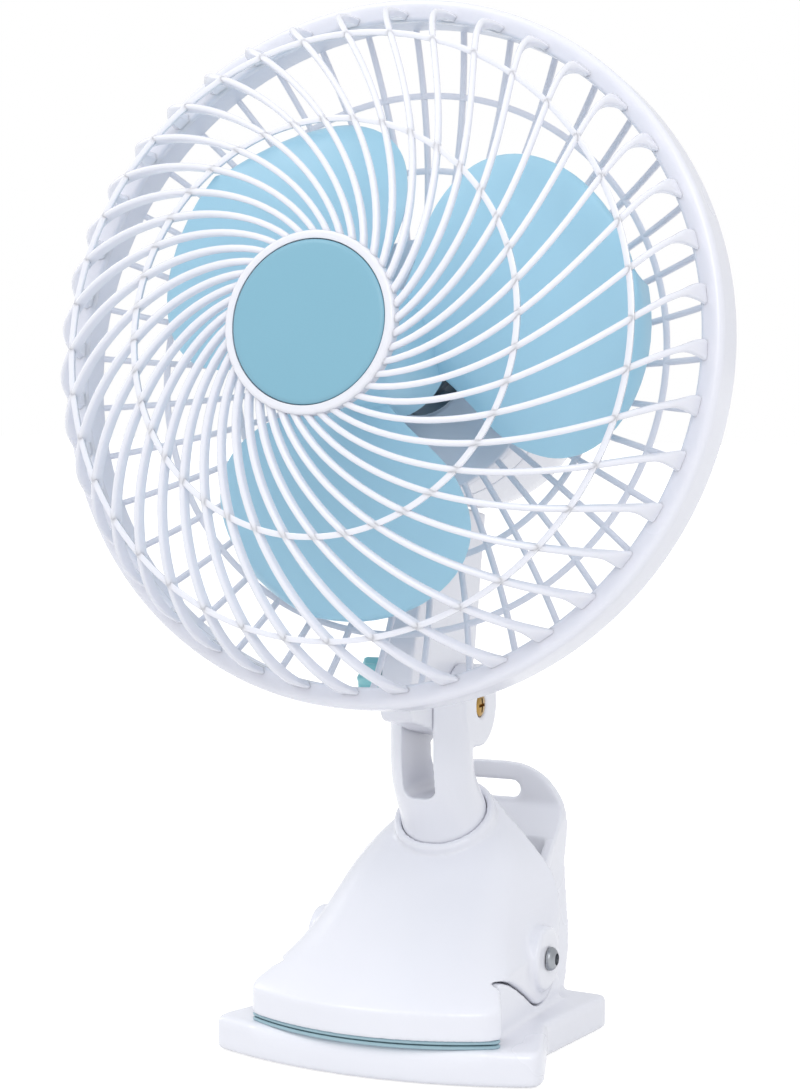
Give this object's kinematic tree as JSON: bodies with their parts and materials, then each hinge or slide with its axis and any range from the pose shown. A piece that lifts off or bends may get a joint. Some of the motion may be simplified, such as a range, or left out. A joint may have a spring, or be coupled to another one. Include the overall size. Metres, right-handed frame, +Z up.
{
  "type": "clip fan",
  "caption": "Small table fan on a spring clip: round swirl guard, three wide blades, tilting head on a swivelling neck, and a hinged clamp foot.",
  "frame": {"origin": "middle of the clip base's flat underside, below the line between its front and rear edges", "axes": "+Z up, the fan blows towards -Y, +X to the right of someone facing the fan"},
  "size_m": [0.195, 0.1379, 0.2938],
  "materials": {
    "white_abs": "gloss",
    "guard_plastic": "gloss",
    "rear_guard_plastic": "satin",
    "sky_blue_plastic": "satin",
    "teal_knob_plastic": "satin",
    "pale_pad_rubber": "matte",
    "foot_rubber": "matte",
    "zinc_steel": "satin",
    "spring_steel": "satin",
    "brass_screw": "satin",
    "laminated_steel": "matte",
    "winding": "satin",
    "sintered_bronze": "matte",
    "switch_black": "matte"
  },
  "bodies": {
    "clip_base": {"clip_base": "white_abs", "hinge_pin": "zinc_steel", "torsion_spring": "spring_steel", "lower_jaw_pad": "pale_pad_rubber", "foot_pad_1": "foot_rubber", "foot_pad_2": "foot_rubber", "foot_pad_3": "foot_rubber", "foot_pad_4": "foot_rubber"},
    "upper_jaw": {"upper_jaw": "white_abs", "upper_jaw_pad": "pale_pad_rubber"},
    "neck": {"neck": "white_abs", "swivel_washer": "zinc_steel", "swivel_screw": "zinc_steel", "tilt_screw": "brass_screw", "tilt_nut": "zinc_steel"},
    "head": {"front_guard": "guard_plastic", "hub_disc": "sky_blue_plastic", "rear_guard": "rear_guard_plastic", "guard_screw_1": "zinc_steel", "guard_screw_2": "zinc_steel", "guard_screw_3": "zinc_steel", "stator_core": "laminated_steel", "stator_coil": "winding", "front_bracket": "zinc_steel", "rear_bracket": "zinc_steel", "front_bush": "sintered_bronze", "rear_bush": "sintered_bronze", "motor_screw_1": "zinc_steel", "motor_screw_2": "zinc_steel", "motor_housing": "white_abs", "motor_cover": "white_abs", "cord_inlet": "white_abs", "switch_body": "switch_black"},
    "rotor": {"impeller": "sky_blue_plastic", "motor_shaft": "zinc_steel", "rotor": "laminated_steel"},
    "switch_knob": {"switch_knob": "teal_knob_plastic"}
  },
  "joints": [
    {"name": "clip_open", "type": "hinge", "parent": "clip_base", "child": "upper_jaw", "pos_m": [0, 0.013, 0.025], "axis": [-1, 0, 0], "range_deg": [0, 20], "stiffness_Nm_per_rad": 1.2, "springref_deg": -40.11, "deforming": ["torsion_spring"]},
    {"name": "neck_swivel", "type": "hinge", "parent": "upper_jaw", "child": "neck", "pos_m": [0, 0.023, 0.061], "axis": [0, -0.5592, 0.829], "range_deg": [-45, 45]},
    {"name": "head_tilt", "type": "hinge", "parent": "neck", "child": "head", "pos_m": [0, 0.0217, 0.0953], "axis": [1, 0, 0], "range_deg": [-45, 25]},
    {"name": "blade_spin", "type": "hinge", "parent": "head", "child": "rotor", "pos_m": [0, -0.02227, 0.19705], "axis": [0, -0.9866, 0.1633], "continuous": true},
    {"name": "switch_turn", "type": "hinge", "parent": "head", "child": "switch_knob", "pos_m": [0, -0.00609, 0.10497], "axis": [-1, 0, 0], "range_deg": [0, 120]}
  ]
}
